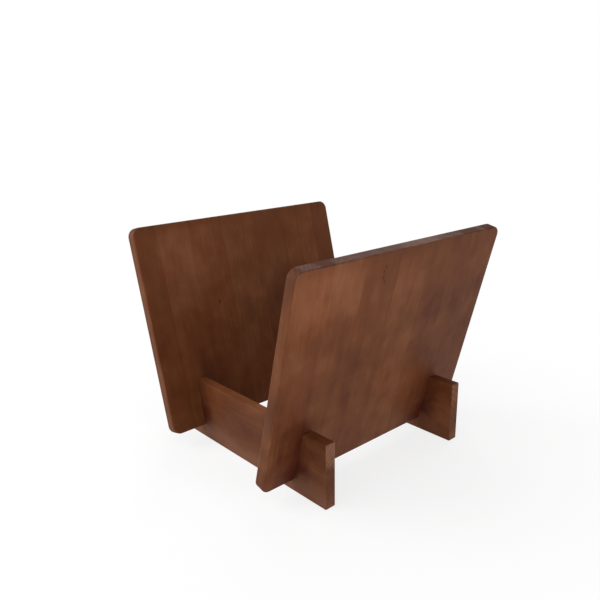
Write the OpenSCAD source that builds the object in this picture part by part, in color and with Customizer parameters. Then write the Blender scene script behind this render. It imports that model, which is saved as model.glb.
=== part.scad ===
// Record storage stand: two leaning panels slotted over two upright rails.
// X runs along the panels' width, Y along the rails (front at -Y) and Z up.
// The origin is on the floor, in the middle of the stand.

/* [Panels] */
// Width of each panel
panel_w = 290; // [250:1:400]
// Height of each panel, measured up its slope
panel_h = 235; // [170:1:320]
// Thickness of the panels
panel_t = 12; // [9:0.5:18]
// Radius of the panels' corners
panel_corner_r = 10; // [3:0.5:24]
// Radius of the panels' sanded edges
panel_edge_r = 1.5; // [0.5:0.25:2.5]
// Lean of each panel away from upright, in degrees
lean = 14; // [8:0.5:20]
// Height of the panels' lowest edges above the floor
panel_lift = 13; // [6:0.5:22]
// How far the panels reach past the rails' outer faces
panel_overhang = 41.5; // [32:0.5:64]

/* [Rails] */
// Length of each rail
rail_l = 258; // [244:1:360]
// Height of each rail
rail_h = 69; // [60:1:100]
// Thickness of the rails
rail_t = 12; // [9:0.5:18]
// Radius of the rails' corners
rail_corner_r = 1.5; // [1.5:0.5:8]
// Radius of the rails' sanded edges
rail_edge_r = 0.75; // [0.5:0.25:1.25]

/* [Joints] */
// Clear width between the two panels at the rails' top edges
bay_w = 170; // [140:1:190]
// Depth of the slots in the rails, measured down the panels' slope
rail_slot_d = 28; // [20:0.5:36]
// Gap between a board and each wall of the slot it stands in
slot_clearance = 0.2; // [0.05:0.05:0.5]
// Depth of the sanded chamfer at the mouth of each slot and notch
mouth_ease = 0.6; // [0.2:0.1:1.5]

/* [Hidden] */
$fn = 64;

PANEL_COLOUR = "#7c4c36";
RAIL_COLOUR = "#6e432f";

// How far a cutting tool runs past the face it cuts
OVERCUT = 5;

// Middle of a panel's bottom edge: its height, and its distance from the stand's middle
foot_z = panel_lift + panel_t / 2 * sin(lean);
foot_y = bay_w / 2 + panel_t / 2 / cos(lean) - (rail_h - foot_z) * tan(lean);

// Where panel and rail cross, measured up the panel's slope from its bottom edge:
// the rail's top edge, and the seat where the notch's end rests on the slot's floor
rail_top_v = (rail_h - foot_z) / cos(lean);
seat_v = rail_top_v - rail_slot_d;

// Distance between the rails, centre to centre
rail_pitch = panel_w - 2 * panel_overhang - rail_t;

rail_slot_w = panel_t + 2 * slot_clearance;
panel_notch_w = rail_t + 2 * slot_clearance;

// Section of a board: a rectangle with round corners, centred on the origin
module eased_section(width, thickness, edge_r) {
    square([width - 2 * edge_r, thickness], center = true);
    square([width, thickness - 2 * edge_r], center = true);
    for (x = [-1, 1], y = [-1, 1])
        translate([x * (width / 2 - edge_r), y * (thickness / 2 - edge_r)])
            circle(edge_r);
}

// Half of that section, from the axis outwards, to be turned round a corner
module eased_rim(corner_r, thickness, edge_r) {
    intersection() {
        eased_section(2 * corner_r, thickness, edge_r);
        translate([0, -thickness])
            square([corner_r, 2 * thickness]);
    }
}

// Flat board with round corners and round edges all the way about.
// It lies with its bottom edge along X, and its thickness is centred on Z.
module eased_board(width, height, thickness, corner_r, edge_r) {
    translate([0, height / 2, 0]) {
        rotate([90, 0, 0])
            linear_extrude(height - 2 * corner_r, center = true)
                eased_section(width, thickness, edge_r);
        rotate([90, 0, 90])
            linear_extrude(width - 2 * corner_r, center = true)
                eased_section(height, thickness, edge_r);
        for (x = [0, 1], y = [0, 1])
            mirror([x, 0, 0])
                mirror([0, y, 0])
                    translate([width / 2 - corner_r, height / 2 - corner_r, 0])
                        rotate_extrude(angle = 90)
                            eased_rim(corner_r, thickness, edge_r);
    }
}

// Moves children from a panel's own upright frame, with its bottom edge along X
// and its outer face towards -Y, to the front panel's place
module at_front_panel() {
    translate([0, -foot_y, foot_z])
        rotate([lean, 0, 0])
            children();
}

// Turns children from the front of the stand to its back
module at_back() {
    rotate([0, 0, 180])
        children();
}

// Outline of a slot, with its floor along X and its walls running up to a mouth that may slant.
// The mouth's chamfers start mouth_ease below it and run on past it.
module slot_outline(width, left_depth, right_depth) {
    polygon([
        [-width / 2, 0],
        [width / 2, 0],
        [width / 2, right_depth - mouth_ease],
        [width / 2 + OVERCUT, right_depth - mouth_ease + OVERCUT],
        [-width / 2 - OVERCUT, left_depth - mouth_ease + OVERCUT],
        [-width / 2, left_depth - mouth_ease],
    ]);
}

// Cutter for one notch in a panel's bottom edge, open downwards
module panel_notch() {
    translate([0, 0, seat_v])
        rotate([-90, 0, 0])
            linear_extrude(2 * panel_t, center = true)
                slot_outline(panel_notch_w, seat_v, seat_v);
}

// Cutter for one slot in a rail's top edge, at the front panel's slope
module rail_slot() {
    mouth_slant = rail_slot_w / 2 * tan(lean);
    at_front_panel()
        translate([0, 0, seat_v])
            rotate([90, 0, 90])
                linear_extrude(2 * rail_t, center = true)
                    slot_outline(rail_slot_w, rail_slot_d + mouth_slant, rail_slot_d - mouth_slant);
}

// One leaning panel, at the front
module panel() {
    color(PANEL_COLOUR)
        at_front_panel()
            difference() {
                rotate([90, 0, 0])
                    eased_board(panel_w, panel_h, panel_t, panel_corner_r, panel_edge_r);
                for (side = [-1, 1])
                    translate([side * rail_pitch / 2, 0, 0])
                        panel_notch();
            }
}

// One rail, in the middle of the stand
module rail() {
    color(RAIL_COLOUR)
        difference() {
            rotate([90, 0, 90])
                eased_board(rail_l, rail_h, rail_t, rail_corner_r, rail_edge_r);
            rail_slot();
            at_back()
                rail_slot();
        }
}

module front_panel() {
    panel();
}

module rear_panel() {
    at_back()
        panel();
}

module left_rail() {
    translate([-rail_pitch / 2, 0, 0])
        rail();
}

module right_rail() {
    translate([rail_pitch / 2, 0, 0])
        rail();
}

front_panel();
rear_panel();
left_rail();
right_rail();
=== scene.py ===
"""Looks of the record storage stand: four boards of stained, glued-up wood under a satin lacquer."""

import math

import bpy
from mathutils import Matrix, Vector


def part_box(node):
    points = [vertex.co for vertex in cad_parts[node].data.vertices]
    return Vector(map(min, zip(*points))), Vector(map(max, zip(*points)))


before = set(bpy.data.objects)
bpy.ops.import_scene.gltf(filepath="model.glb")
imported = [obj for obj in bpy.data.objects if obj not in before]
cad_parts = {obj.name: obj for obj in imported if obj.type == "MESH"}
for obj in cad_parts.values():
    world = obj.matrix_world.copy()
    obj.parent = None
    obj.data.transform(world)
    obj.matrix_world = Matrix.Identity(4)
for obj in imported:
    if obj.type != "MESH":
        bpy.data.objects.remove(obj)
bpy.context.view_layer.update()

# ---------------------------------------------------------------- camera

PHOTO_SIZE = 600  # pixels, both ways
FOCAL_PX = 647.1  # focal length in pixels of that frame
LENS_SHIFT_PX = 15.2  # how far below the frame's middle the lens axis meets it
CAMERA_AZIMUTH = -41.55
CAMERA_ELEVATION = 17.83
CAMERA_ROLL = -1.01
CAMERA_TARGET = Vector((0.0774, 0.1077, 0.1000))
CAMERA_DISTANCE = 0.8668
SENSOR_MM = 36.0
UPWARD = Vector((0, 0, 1))


def outward(azimuth, elevation):
    """Direction by azimuth and elevation in degrees. Azimuth 0 is the stand's front and 90 its right."""
    azimuth, elevation = math.radians(azimuth), math.radians(elevation)
    return Vector((
        math.sin(azimuth) * math.cos(elevation),
        -math.cos(azimuth) * math.cos(elevation),
        math.sin(elevation),
    ))


def add_camera():
    """The photograph's view: camera placed by azimuth, elevation, roll and distance from a target."""
    back = outward(CAMERA_AZIMUTH, CAMERA_ELEVATION)
    level_right = (-back).cross(UPWARD).normalized()
    level_up = back.cross(level_right)
    roll = math.radians(CAMERA_ROLL)
    right = level_right * math.cos(roll) + level_up * math.sin(roll)
    up = level_up * math.cos(roll) - level_right * math.sin(roll)
    turn = Matrix((right, up, back)).transposed().to_4x4()

    data = bpy.data.cameras.new("camera")
    data.sensor_width = SENSOR_MM
    data.lens = FOCAL_PX / PHOTO_SIZE * SENSOR_MM
    data.shift_y = LENS_SHIFT_PX / PHOTO_SIZE
    data.clip_start = 0.01
    data.clip_end = 50.0
    camera = bpy.data.objects.new("camera", data)
    camera.matrix_world = Matrix.Translation(CAMERA_TARGET + back * CAMERA_DISTANCE) @ turn
    bpy.context.scene.collection.objects.link(camera)
    bpy.context.scene.camera = camera


add_camera()

# ---------------------------------------------------------------- shader helpers


class Graph:
    """Builds the shader tree of one material or world."""

    def __init__(self, owner):
        owner.use_nodes = True
        self.tree = owner.node_tree
        self.tree.nodes.clear()

    def plug(self, socket, value):
        """Links a socket to another node's output, or sets it to a plain value."""
        if isinstance(value, bpy.types.NodeSocket):
            self.tree.links.new(value, socket)
        else:
            socket.default_value = value

    def node(self, kind, sockets, **settings):
        made = self.tree.nodes.new("ShaderNode" + kind)
        for name, value in settings.items():
            setattr(made, name, value)
        for name, value in sockets.items():
            self.plug(made.inputs[name], value)
        return made

    def math(self, operation, a, b=0.0, c=0.0, clamp=False):
        node = self.node("Math", {0: a, 1: b, 2: c}, operation=operation, use_clamp=clamp)
        return node.outputs[0]

    def add(self, a, b):
        return self.math("ADD", a, b)

    def minus(self, a, b):
        return self.math("SUBTRACT", a, b)

    def times(self, a, b):
        return self.math("MULTIPLY", a, b)

    def absolute(self, a):
        return self.math("ABSOLUTE", a)

    def length(self, x, y):
        return self.math("SQRT", self.add(self.times(x, x), self.times(y, y)))

    def ramp(self, value, low, high, to_low=0.0, to_high=1.0):
        """Smooth step of a value from low..high to to_low..to_high."""
        node = self.node(
            "MapRange",
            {"Value": value, "From Min": low, "From Max": high, "To Min": to_low, "To Max": to_high},
            interpolation_type="SMOOTHSTEP",
        )
        return node.outputs["Result"]

    def fade(self, value, low, high):
        """1 below low, and smoothly down to 0 at high."""
        return self.ramp(value, low, high, 1.0, 0.0)

    def facing(self, normal, axis, least=0.6, full=0.95):
        """0 to 1 as a surface turns to face along an axis, either way, by its cosine to that axis."""
        cosine = self.node("VectorMath", {0: normal, 1: axis}, operation="DOT_PRODUCT").outputs["Value"]
        return self.ramp(self.absolute(cosine), least, full)

    def join(self, x, y, z):
        return self.node("CombineXYZ", {"X": x, "Y": y, "Z": z}).outputs[0]

    def split(self, vector):
        node = self.node("SeparateXYZ", {"Vector": vector})
        return node.outputs["X"], node.outputs["Y"], node.outputs["Z"]

    def noise(self, vector, scale, detail, roughness):
        """Noise as a value about zero."""
        sockets = {"Vector": vector, "Scale": scale, "Detail": detail, "Roughness": roughness}
        return self.minus(self.node("TexNoise", sockets).outputs["Fac"], 0.5)

    def mix(self, factor, a, b, blend="MIX"):
        """Mix of two colours, whose sockets share their names with other types and so go by number."""
        node = self.node("Mix", {"Factor": factor}, data_type="RGBA", blend_type=blend)
        self.plug(node.inputs[6], a)
        self.plug(node.inputs[7], b)
        return node.outputs[2]

    def tinted(self, paint, tint):
        return self.mix(1.0, paint, tint, "MULTIPLY")


def colour(red, green, blue):
    """Colour written as it shows on a screen, 0 to 255, made linear for the shaders."""
    def linear(level):
        share = level / 255
        return share / 12.92 if share <= 0.04045 else ((share + 0.055) / 1.055) ** 2.4
    return (linear(red), linear(green), linear(blue), 1.0)


# ---------------------------------------------------------------- boards

# Sizes in metres
BOARD_T = 0.012
PANEL_H = 0.235
PANEL_CORNER_R = 0.010
PANEL_EDGE_R = 0.0015
RAIL_CORNER_R = 0.0015
RAIL_EDGE_R = 0.00075
LEAN = math.radians(14)

# A rail's own axes: x up, y across the stand, z along the rail
RAIL_TURN = Matrix(((0, 1, 0), (0, 0, 1), (1, 0, 0)))


def middle(node):
    """Middle of a node's box."""
    low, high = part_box(node)
    return (low + high) / 2


# How far the rails stand from the stand's middle, how high they reach, and the front panel's middle
RAIL_X = -middle("left_rail").x
RAIL_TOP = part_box("left_rail")[1].z
PANEL_CENTRE = middle("front_panel")

# Painted shade in the corners beside the joints: how far from the other board it is full, and how far it
# shows
PANEL_PAINTED_SHADE = (0.002, 0.042)
PANEL_PAINTED_SHADE_TOP = (0.006, 0.042)  # distances above the rail's top between which it ends
PANEL_PAINTED_SHADE_FOOT = (0.012, 0.034)  # distances above the bottom edge between which it gets thinner
PANEL_PAINTED_SHADE_DEPTH = (0.972, 0.576)  # how deep it is, below those and above them
PANEL_PAINTED_SHADE_START = (-0.006, 0.001)  # distances from the rail's face between which it starts
# Factors on the distance from the rail, at the panel's bottom edge and at the rail's top
PANEL_PAINTED_SHADE_NARROWING = (0.90, 1.15)
RAIL_PAINTED_SHADE = (0.003, 0.027)
RAIL_PAINTED_SHADE_FOOT = (0.012, 0.026)  # heights above the bottom edge between which it starts
RAIL_PAINTED_SHADE_TOP = (0.030, 0.056)  # heights between which it gets thinner
RAIL_PAINTED_SHADE_DEPTH = 0.90
RAIL_PAINTED_SHADE_TOP_SHARE = 0.35  # of that depth, at the top


class Board:
    """One board. Its own axes start at its middle: x across the grain, y through it and z along the grain.

    seed picks its figure, and strip_w is the width of the strips that it is glued up from.
    knots are pin knots, each (place across, place along, radius, stretch along the grain).
    patches, end_patches and edge_patches are soft round patches of lighter or darker stain on its faces,
    on its end grain and on its long narrow edges, each (place across, place along, radius, tone).
    end_tone and edge_tone are how much lighter the end grain and the narrow edges are than the faces,
    and edge_tint is what the edges' colour is multiplied by, on the panels a painted sheen that greys
    them.
    top_tone is how much lighter a panel's faces are at the top, and lightening is how far a rail's stain
    turns paler towards the bottom. Places are in metres, and tones are shares of the way from the darkest
    stain to the lightest.
    """

    def __init__(self, node, turn, corner_r, edge_r, seed, strip_w, knots, end_tone, edge_tone, edge_tint,
                 top_tone=0.0, lightening=0.0, patches=(), end_patches=(), edge_patches=()):
        low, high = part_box(node)
        self.node = node
        self.size = high - low
        self.centre = middle(node)
        self.turn = turn
        self.corner_r = corner_r
        self.edge_r = edge_r
        self.seed = seed
        self.strip_w = strip_w
        self.knots = knots
        self.end_tone = end_tone
        self.edge_tone = edge_tone
        self.edge_tint = edge_tint
        self.top_tone = top_tone
        self.lightening = lightening
        self.patches = patches
        self.end_patches = end_patches
        self.edge_patches = edge_patches


class Panel(Board):
    """A leaning panel, whose grain runs up its slope."""

    def __init__(self, node, facing, **looks):
        turn = Matrix.Rotation(math.radians(facing), 3, "Z") @ Matrix.Rotation(LEAN, 3, "X")
        super().__init__(node, turn, PANEL_CORNER_R, PANEL_EDGE_R, **looks)
        self.half_across = self.size.x / 2
        self.half_along = PANEL_H / 2

    def painted_corner_shade(self, g, across, along, drift):
        """How much painted shade lies at a point beside a rail, in the corner between the panel and the
        rail.

        It lies on the same side of both rails, where the rails' shadow falls.
        """
        joint_top = (RAIL_TOP - PANEL_CENTRE.z) / math.cos(LEAN)
        top_low, top_high = PANEL_PAINTED_SHADE_TOP
        foot_low, foot_high = PANEL_PAINTED_SHADE_FOOT
        rail = g.times(g.math("SIGN", across), RAIL_X)
        from_face = g.minus(g.minus(rail, across), BOARD_T / 2)
        extent = g.times(
            g.fade(g.add(along, drift), joint_top + top_low, joint_top + top_high),
            g.ramp(from_face, *PANEL_PAINTED_SHADE_START),
        )
        depth = g.ramp(along, foot_low - self.half_along, foot_high - self.half_along, *PANEL_PAINTED_SHADE_DEPTH)
        narrowed = g.times(from_face, g.ramp(along, -self.half_along, joint_top, *PANEL_PAINTED_SHADE_NARROWING))
        near = g.fade(g.add(narrowed, drift), *PANEL_PAINTED_SHADE)
        return g.times(near, g.times(extent, depth))


class Rail(Board):
    """An upright rail, whose grain runs along the stand."""

    def __init__(self, node, **looks):
        super().__init__(node, RAIL_TURN, RAIL_CORNER_R, RAIL_EDGE_R, **looks)
        self.half_across = self.size.z / 2
        self.half_along = self.size.y / 2

    def painted_corner_shade(self, g, across, along, drift):
        """How much painted shade lies at a point beside a panel, in the corners on both its sides."""
        above_panel_middle = g.add(across, self.centre.z - PANEL_CENTRE.z)
        plane = g.minus(g.times(above_panel_middle, math.tan(LEAN)), PANEL_CENTRE.y)
        from_plane = g.times(g.minus(g.absolute(along), plane), math.cos(LEAN))
        from_face = g.minus(g.absolute(from_plane), BOARD_T / 2)
        height = g.add(g.add(across, drift), self.half_across)
        extent = g.times(
            g.ramp(height, *RAIL_PAINTED_SHADE_FOOT),
            g.ramp(height, *RAIL_PAINTED_SHADE_TOP, 1.0, RAIL_PAINTED_SHADE_TOP_SHARE),
        )
        near = g.fade(g.add(from_face, drift), *RAIL_PAINTED_SHADE)
        return g.times(g.times(near, extent), RAIL_PAINTED_SHADE_DEPTH)


# ---------------------------------------------------------------- wood

# Stain, from the darkest tone to the lightest, the painted shade of the corners beside the joints, and a
# paler stain towards a rail's bottom
STAIN_DARK = colour(70, 32, 15)
STAIN_MID = colour(101, 56, 29)
STAIN_LIGHT = colour(136, 84, 55)
# Painted shade in the corners beside the joints
PAINTED_SHADE_COLOUR = colour(70, 29, 18)
STAIN_PALER_BOTTOM = colour(120, 80, 58)
# The strips' own tints, and those of end grain, of a painted sheen that greys the panels' narrow edges,
# and of edges like the faces
WARM_TINT = (1.02, 0.98, 0.96, 1.0)
COOL_TINT = (0.99, 1.02, 1.05, 1.0)
END_TINT = (0.97, 1.23, 1.78, 1.0)
PAINTED_SHEEN_TINT = (1.00, 1.10, 1.22, 1.0)
PLAIN_TINT = (1.0, 1.0, 1.0, 1.0)

# Layers of the figure in the wood: stretch along the grain, scale, detail and roughness of the noise
FIBRE = (30.0, 1300.0, 2.0, 0.60)
FLECK = (8.0, 330.0, 2.0, 0.55)
STREAK = (12.0, 150.0, 3.0, 0.60)
CLOUD = (2.4, 60.0, 2.0, 0.50)
RING_WANDER = (6.0, 11.0, 2.0, 0.50)
# Layers of the stain itself, by the scale of their noise
MOTTLE = 85.0
BROAD = 26.0
PORES = 420.0
STAIN_DETAIL = 2.0
STAIN_ROUGHNESS = 0.5
# How far the broad layer moves the strips' own tints, and where those go from warm to cool
COOLNESS_DRIFT = 2.0
COOLNESS = (0.1, 0.9)

# How much each layer adds to the tone
MIDDLE_TONE = 0.5
TONE_SHARES = {
    "strip": 0.14,
    "fibre": 0.08,
    "fleck": 0.14,
    "streak": 0.19,
    "cloud": 0.27,
    "mottle": 0.24,
    "broad": 0.60,
    "late_wood": -0.04,
    "seam": -0.05,
    "knot": -0.40,
}
PORES_ON_ENDS = 0.4
LATE_WOOD_ON_ENDS = -0.15

# Strips
STRIP_UNEVENNESS = 0.5
SEAM_W = 0.0007
LOG_SPREAD = (0.7, 0.9, 1.3)  # metres over which the strips' places in the log are spread, each way

# Growth rings round a strip's heart, which lies outside the board. Its depth is from the board's middle.
HEART_SIDE_SPREAD = 0.09
HEART_DEPTH = 0.018
HEART_DEPTH_SPREAD = 0.05
MM_IN_1M = 1000
RINGS_IN_1MM = 0.08
RINGS_IN_1MM_SPREAD = 0.14
WANDER = 0.030
RING_DARKENS = (0.3, 0.85)  # shares of a ring's width between which it darkens

# Knots, in radii of the knot
KNOT_REACH = 4.5  # how far it bends the grain
KNOT_BEND = 0.85  # how far it moves the grain, as a share of the distance from its middle
KNOT_RIM = (0.4, 1.3)  # where its own colour ends

# Patches
PATCH_ON_EDGES = 0.6  # how much of a face's patch shows on the narrow edges
END_PATCH_FLAT = 0.55  # share of its radius over which an end patch is flat
# Drifts are the metres by which an outline moves for each unit of a layer's noise
PATCH_BROAD_DRIFT = 0.06
PATCH_STREAK_DRIFT = 0.04
END_PATCH_DRIFT = 0.02
EDGE_PATCH_DRIFT = 0.03

# Top, bottom, painted shade in the corners, and sanded arrises
TOP_REACH = 0.016  # how far down the tone of the top goes
PALER_BOTTOM_HEIGHTS = (0.004, 0.030)  # heights above the bottom edge between which the paler stain ends
PALER_BOTTOM_DRIFT = 0.020
# How far the outline of the painted shade in the corners moves
PAINTED_SHADE_DRIFT = 0.030
ARRIS_RADII = (0.1, 1.1)  # radii of the sanded edge, from both surfaces, within which an arris shows
ARRIS_TONE = 0.10
ARRIS_CLOUD = 0.8

# Lacquer
IOR = 1.46
SPECULAR = 0.13
ROUGHNESS = 0.56
FIBRE_ROUGHNESS = 0.25
END_DULLNESS = 0.12  # roughness that end grain adds
END_PATCH_DULLNESS = -0.7  # and what its lighter patches take off again, for each unit of tone
RELIEF_HEIGHT = 0.0004
RELIEF_STRENGTH = 0.25
RELIEF_FIBRE = 0.6
RELIEF_LATE_WOOD = 0.25


class Wood:
    """Material of one board: strips of wood, stained and lacquered, drawn through the whole solid."""

    def __init__(self, board):
        self.board = board
        self.material = bpy.data.materials.new(board.node + "_wood")
        self.g = Graph(self.material)
        self.find_place()
        self.bend_round_knots()
        self.cut_strips()
        self.draw_layers()
        self.end_patch = self.patchwork(
            board.end_patches, self.g.times(self.layers["mottle"], END_PATCH_DRIFT), END_PATCH_FLAT)
        self.lacquer(self.stain_with_painted_shade(self.tone()))

    def find_place(self):
        """A point's place in the board's own axes, and which kind of surface it is on."""
        g, board = self.g, self.board
        local = g.node(
            "Mapping",
            {"Vector": g.node("TexCoord", {}).outputs["Object"],
             "Location": board.centre,
             "Rotation": board.turn.to_euler()},
            vector_type="TEXTURE",
        ).outputs[0]
        self.across, self.through, self.along = g.split(local)

        normal = g.node("NewGeometry", {}).outputs["Normal"]
        self.on_end = g.facing(normal, board.turn.col[2], least=0.35)
        self.on_edge = g.facing(normal, board.turn.col[0])
        self.on_face = g.facing(normal, board.turn.col[1])

    def bend_round_knots(self):
        """Bends the grain out round each knot, and marks what is in one."""
        g = self.g
        self.grain_across = self.across
        self.in_knot = 0.0
        for knot_across, knot_along, knot_r, stretch in self.board.knots:
            side = g.minus(self.across, knot_across)
            length = g.times(g.minus(self.along, knot_along), 1 / stretch)
            radii = g.times(g.length(side, length), 1 / knot_r)
            bend = g.times(g.times(side, g.fade(radii, 0.0, KNOT_REACH)), KNOT_BEND)
            self.grain_across = g.minus(self.grain_across, bend)
            self.in_knot = g.add(self.in_knot, g.fade(radii, *KNOT_RIM))

    def cut_strips(self):
        """Strips glued side by side, each cut from its own place in a log."""
        g, board = self.g, self.board
        strips = {
            "W": g.add(g.times(self.across, 1 / board.strip_w), board.seed),
            "Scale": 1.0,
            "Randomness": STRIP_UNEVENNESS,
        }
        strip = g.node("TexVoronoi", strips, voronoi_dimensions="1D").outputs
        border = g.node("TexVoronoi", strips, voronoi_dimensions="1D", feature="DISTANCE_TO_EDGE").outputs
        self.seam = g.fade(g.times(border["Distance"], board.strip_w), 0.0, SEAM_W)
        self.strip_middle = g.times(g.minus(strip["W"], board.seed), board.strip_w)

        # Three numbers from 0 to 1 that are each strip's own
        self.picks = g.split(strip["Color"])
        place = (self.grain_across, self.through, self.along)
        self.in_log = [
            g.add(value, g.times(pick, spread))
            for value, pick, spread in zip(place, self.picks, LOG_SPREAD)
        ]

    def wood_noise(self, stretch, scale, detail, roughness):
        """Noise of the wood, drawn out along the grain."""
        g = self.g
        across, through, along = self.in_log
        return g.noise(g.join(across, through, g.times(along, 1 / stretch)), scale, detail, roughness)

    def stain_noise(self, scale):
        """Noise of the stain, which runs on over the seams."""
        g = self.g
        spot = g.join(g.add(self.across, self.board.seed), self.through, self.along)
        return g.noise(spot, scale, STAIN_DETAIL, STAIN_ROUGHNESS)

    def growth_rings(self):
        """The dark late wood of the growth rings, which wander slowly along the grain."""
        g = self.g
        pick_a, pick_b, pick_c = self.picks
        heart_side = g.add(self.strip_middle, g.times(g.minus(pick_b, 0.5), HEART_SIDE_SPREAD))
        heart_depth = g.add(g.times(pick_c, HEART_DEPTH_SPREAD), HEART_DEPTH)
        radius = g.length(g.minus(self.grain_across, heart_side), g.add(self.through, heart_depth))
        radius = g.add(radius, g.times(self.wood_noise(*RING_WANDER), WANDER))
        rings_in_1mm = g.add(g.times(g.add(pick_a, pick_b), RINGS_IN_1MM_SPREAD), RINGS_IN_1MM)
        ring = g.math("FRACT", g.times(g.times(radius, MM_IN_1M), rings_in_1mm))
        darkest = RING_DARKENS[1]
        return g.times(g.ramp(ring, *RING_DARKENS), g.fade(ring, darkest, 1.0))

    def draw_layers(self):
        """The layers that the tone is made of, by name, and the open pores of end grain."""
        self.layers = {
            "strip": self.g.minus(self.picks[0], 0.5),
            "fibre": self.wood_noise(*FIBRE),
            "fleck": self.wood_noise(*FLECK),
            "streak": self.wood_noise(*STREAK),
            "cloud": self.wood_noise(*CLOUD),
            "mottle": self.stain_noise(MOTTLE),
            "broad": self.stain_noise(BROAD),
            "late_wood": self.growth_rings(),
            "seam": self.seam,
            "knot": self.in_knot,
        }
        self.pores = self.stain_noise(PORES)

    def patchwork(self, patches, drift, flat=0.0):
        """Sum of soft round patches of lighter or darker tone, flat out to a share of their radius."""
        g = self.g
        tone = 0.0
        for across, along, radius, patch_tone in patches:
            away = g.length(g.minus(self.across, across), g.minus(self.along, along))
            tone = g.add(tone, g.ramp(g.add(away, drift), flat * radius, radius, patch_tone, 0.0))
        return tone

    def arris(self):
        """1 on the board's sanded arrises, where a point is near both its outline and a face."""
        g, board = self.g, self.board
        side = g.minus(board.half_across - board.corner_r, g.absolute(self.across))
        end = g.minus(board.half_along - board.corner_r, g.absolute(self.along))
        past_corner = g.length(g.math("MINIMUM", side, 0.0), g.math("MINIMUM", end, 0.0))
        inner = g.math("MAXIMUM", g.math("MINIMUM", side, end), 0.0)
        from_outline = g.minus(g.add(inner, board.corner_r), past_corner)
        from_face = g.minus(BOARD_T / 2, g.absolute(self.through))
        near, far = (radii * board.edge_r for radii in ARRIS_RADII)
        return g.times(g.fade(from_outline, near, far), g.fade(from_face, near, far))

    def tone(self):
        """How light the stain is at a point: 0 is the darkest and 1 the lightest."""
        g, board, layers = self.g, self.board, self.layers
        tone = MIDDLE_TONE
        for name, share in TONE_SHARES.items():
            tone = g.add(tone, g.times(layers[name], share))

        # Faces, and a share of their patches on the narrow edges
        drift = g.add(
            g.times(layers["broad"], PATCH_BROAD_DRIFT),
            g.times(layers["streak"], PATCH_STREAK_DRIFT),
        )
        off_end = g.minus(1.0, self.on_end)
        shown = g.times(g.add(g.times(self.on_face, 1 - PATCH_ON_EDGES), PATCH_ON_EDGES), off_end)
        tone = g.add(tone, g.times(shown, self.patchwork(board.patches, drift)))
        top = g.ramp(self.along, board.half_along - TOP_REACH, board.half_along, 0.0, board.top_tone)
        tone = g.add(tone, g.times(self.on_face, top))

        # Ends and narrow edges take the stain in their own way, and the sanded arrises are lighter
        rings = g.times(layers["late_wood"], LATE_WOOD_ON_ENDS)
        end_grain = g.add(self.end_patch, g.add(g.times(self.pores, PORES_ON_ENDS), rings))
        tone = g.add(tone, g.times(self.on_end, g.add(end_grain, board.end_tone)))
        edge = self.patchwork(board.edge_patches, g.times(layers["broad"], EDGE_PATCH_DRIFT))
        tone = g.add(tone, g.times(self.on_edge, g.add(edge, board.edge_tone)))
        lightening = g.add(g.times(layers["cloud"], ARRIS_CLOUD), ARRIS_TONE)
        return g.add(tone, g.times(self.arris(), lightening))

    def stain_with_painted_shade(self, tone):
        """Colour of the stain at a tone, and painted shade in the joints' corners. The middle stain is at
        a tone of a half.
        """
        g, board, layers = self.g, self.board, self.layers
        dark_half = g.mix(g.math("MULTIPLY", tone, 2.0, clamp=True), STAIN_DARK, STAIN_MID)
        plain = g.mix(g.math("MULTIPLY_ADD", tone, 2.0, -1.0, clamp=True), dark_half, STAIN_LIGHT)
        coolness = g.ramp(g.add(self.picks[2], g.times(layers["broad"], COOLNESS_DRIFT)), *COOLNESS)
        plain = g.tinted(plain, g.mix(coolness, WARM_TINT, COOL_TINT))
        # On the panels' narrow edges the tint is a painted sheen
        paint = g.mix(self.on_edge, plain, g.tinted(plain, board.edge_tint))
        height = g.add(g.add(self.across, board.half_across), g.times(layers["cloud"], PALER_BOTTOM_DRIFT))
        paint = g.mix(g.times(g.fade(height, *PALER_BOTTOM_HEIGHTS), board.lightening), paint, STAIN_PALER_BOTTOM)
        paint = g.mix(self.on_end, paint, g.tinted(plain, END_TINT))
        # Painted shade in the corners beside the joints
        painted_corner_shade = board.painted_corner_shade(g, self.across, self.along, g.times(layers["mottle"], PAINTED_SHADE_DRIFT))
        return g.mix(painted_corner_shade, paint, PAINTED_SHADE_COLOUR)

    def lacquer(self, paint):
        """Satin lacquer over fibres that stand a little proud, duller on the open end grain."""
        g, layers = self.g, self.layers
        relief = g.add(
            g.times(layers["fibre"], RELIEF_FIBRE),
            g.times(layers["late_wood"], RELIEF_LATE_WOOD),
        )
        bump = g.node(
            "Bump",
            {"Strength": RELIEF_STRENGTH, "Distance": RELIEF_HEIGHT, "Height": relief},
        ).outputs[0]
        dullness = g.add(g.times(self.end_patch, END_PATCH_DULLNESS), END_DULLNESS)
        roughness = g.add(g.times(layers["fibre"], FIBRE_ROUGHNESS), ROUGHNESS)
        roughness = g.add(roughness, g.times(self.on_end, dullness))
        shader = g.node(
            "BsdfPrincipled",
            {"Base Color": paint, "Roughness": roughness, "IOR": IOR, "Normal": bump,
             "Specular IOR Level": SPECULAR},
        )
        g.node("OutputMaterial", {"Surface": shader.outputs[0]})


# ---------------------------------------------------------------- looks of each board

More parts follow.
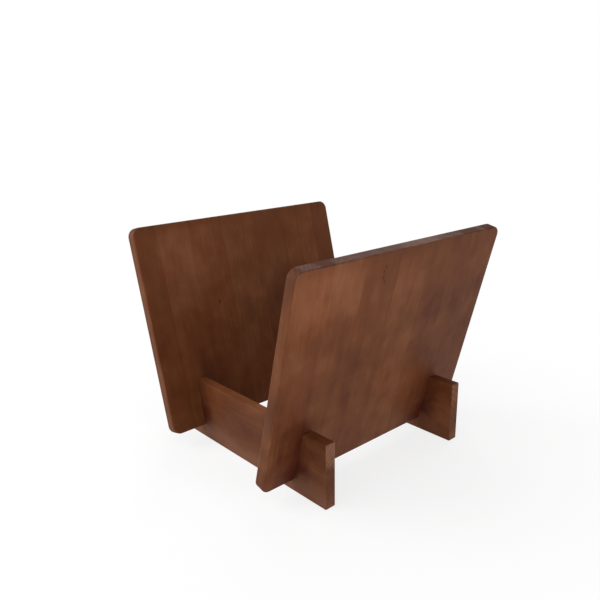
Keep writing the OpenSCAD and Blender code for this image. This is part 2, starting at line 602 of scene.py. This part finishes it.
FRONT_PATCHES = [
    # Upper left: light, and darker below
    (-0.108, 0.088, 0.082, 0.34), (-0.096, 0.045, 0.042, -0.21),
    # Upper middle and upper right
    (-0.010, 0.078, 0.028, 0.12), (0.006, 0.048, 0.034, -0.12), (0.080, 0.104, 0.028, -0.15),
    (0.078, 0.078, 0.030, 0.11), (0.070, 0.040, 0.035, -0.10), (0.114, 0.058, 0.028, -0.15),
    # Right: darker above the rail
    (0.108, 0.000, 0.095, -0.20), (0.100, -0.022, 0.030, -0.12),
    # Middle, and down to the bottom between the rails
    (-0.052, -0.016, 0.065, -0.18), (0.008, -0.028, 0.026, 0.15), (-0.042, -0.040, 0.020, -0.12),
    (0.046, -0.050, 0.036, 0.12), (0.073, -0.072, 0.026, -0.12), (-0.072, -0.062, 0.036, 0.11),
    # Lower left side: dark
    (-0.114, -0.060, 0.034, -0.12), (-0.134, -0.055, 0.052, -0.20), (-0.145, -0.070, 0.020, -0.24),
]
FRONT_KNOTS = [
    (-0.0342, 0.1033, 0.0012, 1.6),
    (-0.0356, 0.0985, 0.0011, 2.4),
    (-0.0346, 0.0925, 0.0009, 3.6),
    (-0.0325, 0.0875, 0.0010, 2.6),
    (-0.0420, 0.1028, 0.0006, 1.2),
]

BOARDS = [
    Panel(
        "front_panel", 0, seed=19.01, strip_w=0.0465, knots=FRONT_KNOTS,
        end_tone=-0.38, edge_tone=-0.05, edge_tint=PAINTED_SHEEN_TINT, top_tone=-0.12, patches=FRONT_PATCHES,
        end_patches=[(-0.109, 0.117, 0.012, -0.20), (0.018, 0.117, 0.034, 0.12),
                     (0.096, 0.117, 0.022, -0.22), (0.136, 0.117, 0.022, -0.30)],
        edge_patches=[(-0.145, 0.112, 0.055, -0.45), (-0.145, -0.028, 0.034, -0.20)],
    ),
    Panel(
        "rear_panel", 180, seed=15.2, strip_w=0.0465, knots=[(0.052, 0.018, 0.0016, 2.0)],
        end_tone=-0.38, edge_tone=-0.05, edge_tint=PAINTED_SHEEN_TINT, top_tone=-0.12,
        patches=[(0.080, 0.070, 0.080, 0.22), (-0.060, -0.020, 0.070, -0.16)],
    ),
    Rail(
        "left_rail", seed=26.9, strip_w=0.11, knots=[(-0.012, 0.021, 0.0012, 2.0)],
        end_tone=0.0, edge_tone=0.08, edge_tint=PLAIN_TINT, lightening=0.65,
        patches=[(0.036, -0.116, 0.026, -0.16), (0.000, 0.000, 0.120, -0.20)],
        end_patches=[(0.026, -0.129, 0.022, 0.37), (0.000, -0.129, 0.014, -0.14),
                     (-0.034, -0.129, 0.014, 0.12), (0.030, 0.129, 0.030, 0.30)],
    ),
    Rail(
        "right_rail", seed=40.1, strip_w=0.11, knots=[(0.014, -0.060, 0.0010, 2.0)],
        end_tone=0.05, edge_tone=-0.26, edge_tint=PLAIN_TINT, lightening=0.30,
        patches=[(0.000, -0.122, 0.034, 0.30)],
        end_patches=[(0.026, -0.129, 0.016, 0.14), (-0.034, -0.129, 0.014, 0.12),
                     (-0.010, 0.129, 0.030, 0.25)],
    ),
]

for board in BOARDS:
    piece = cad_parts[board.node]
    piece.data.materials.clear()
    piece.data.materials.append(Wood(board).material)

# ---------------------------------------------------------------- floor and light

FLOOR_HALF = 3.0
FLOOR_COLOUR = colour(250, 250, 250)
FLOOR_DROP = 0.0002  # just under the rails, so that the two faces don't share a plane
FLOOR_GLOW = 0.78  # how much of the plain white is already in the floor beside the stand
FLOOR_FADE = (0.16, 0.50)  # distances from the stand's middle between which the floor turns plain white
SKY_STRENGTH = 0.12
WHITE = (1, 1, 1, 1)

LAMP_DISTANCE = 1.6
LAMP_SIZE = 0.9
LAMP_AIM = Vector((0, 0, 0.1))
# Each lamp's azimuth and elevation in degrees, as the camera's are given, and its power in watts
LAMPS = {
    "back_left": (-130, 32, 16.0),
    "left": (-90, 38, 5.5),
    "front_left": (-45, 14, 4.5),
    "front_left_high": (-45, 62, 3.0),
    "front": (0, 14, 8.5),
    "right": (90, 38, 5.0),
    "back_right": (135, 38, 8.0),
}


def seen_directly(g):
    """1 for rays that should meet a plain white background: camera, glossy and transmission rays."""
    path = g.node("LightPath", {}).outputs
    seen = g.math("MAXIMUM", path["Is Camera Ray"], path["Is Glossy Ray"])
    return g.math("MAXIMUM", seen, path["Is Transmission Ray"])


def add_floor():
    """Pale floor that keeps the stand's shadow and fades to white away from it."""
    signs = ((-1, -1), (1, -1), (1, 1), (-1, 1))
    corners = [(x * FLOOR_HALF, y * FLOOR_HALF, -FLOOR_DROP) for x, y in signs]
    mesh = bpy.data.meshes.new("floor")
    mesh.from_pydata(corners, [], [(0, 1, 2, 3)])
    floor = bpy.data.objects.new("floor", mesh)
    bpy.context.scene.collection.objects.link(floor)

    material = bpy.data.materials.new("floor")
    g = Graph(material)
    x, y, _ = g.split(g.node("TexCoord", {}).outputs["Object"])
    white = g.times(g.ramp(g.length(x, y), *FLOOR_FADE, FLOOR_GLOW, 1.0), seen_directly(g))
    matt = g.node("BsdfDiffuse", {"Color": FLOOR_COLOUR}).outputs[0]
    glow = g.node("Emission", {"Color": WHITE, "Strength": 1.0}).outputs[0]
    blend = g.node("MixShader", {0: white, 1: matt, 2: glow}).outputs[0]
    g.node("OutputMaterial", {"Surface": blend})
    mesh.materials.append(material)


def add_world():
    """Even pale light all round, and plain white where it is seen directly."""
    world = bpy.data.worlds.new("studio")
    g = Graph(world)
    sky = g.node("Background", {"Color": WHITE, "Strength": SKY_STRENGTH}).outputs[0]
    plain = g.node("Background", {"Color": WHITE, "Strength": 1.0}).outputs[0]
    blend = g.node("MixShader", {0: seen_directly(g), 1: sky, 2: plain}).outputs[0]
    g.node("OutputWorld", {"Surface": blend})
    bpy.context.scene.world = world


def add_lamp(name, azimuth, elevation, power):
    """Square soft lamp on a dome round the stand, turned to it."""
    out = outward(azimuth, elevation)
    data = bpy.data.lights.new(name, "AREA")
    data.size = LAMP_SIZE
    data.energy = power
    lamp = bpy.data.objects.new(name, data)
    lamp.location = LAMP_AIM + out * LAMP_DISTANCE
    lamp.rotation_mode = "QUATERNION"
    lamp.rotation_quaternion = out.to_track_quat("Z", "Y")
    bpy.context.scene.collection.objects.link(lamp)


add_floor()
add_world()
for lamp_name, (lamp_azimuth, lamp_elevation, lamp_power) in LAMPS.items():
    add_lamp(lamp_name, lamp_azimuth, lamp_elevation, lamp_power)

bpy.context.scene.view_settings.view_transform = "Standard"
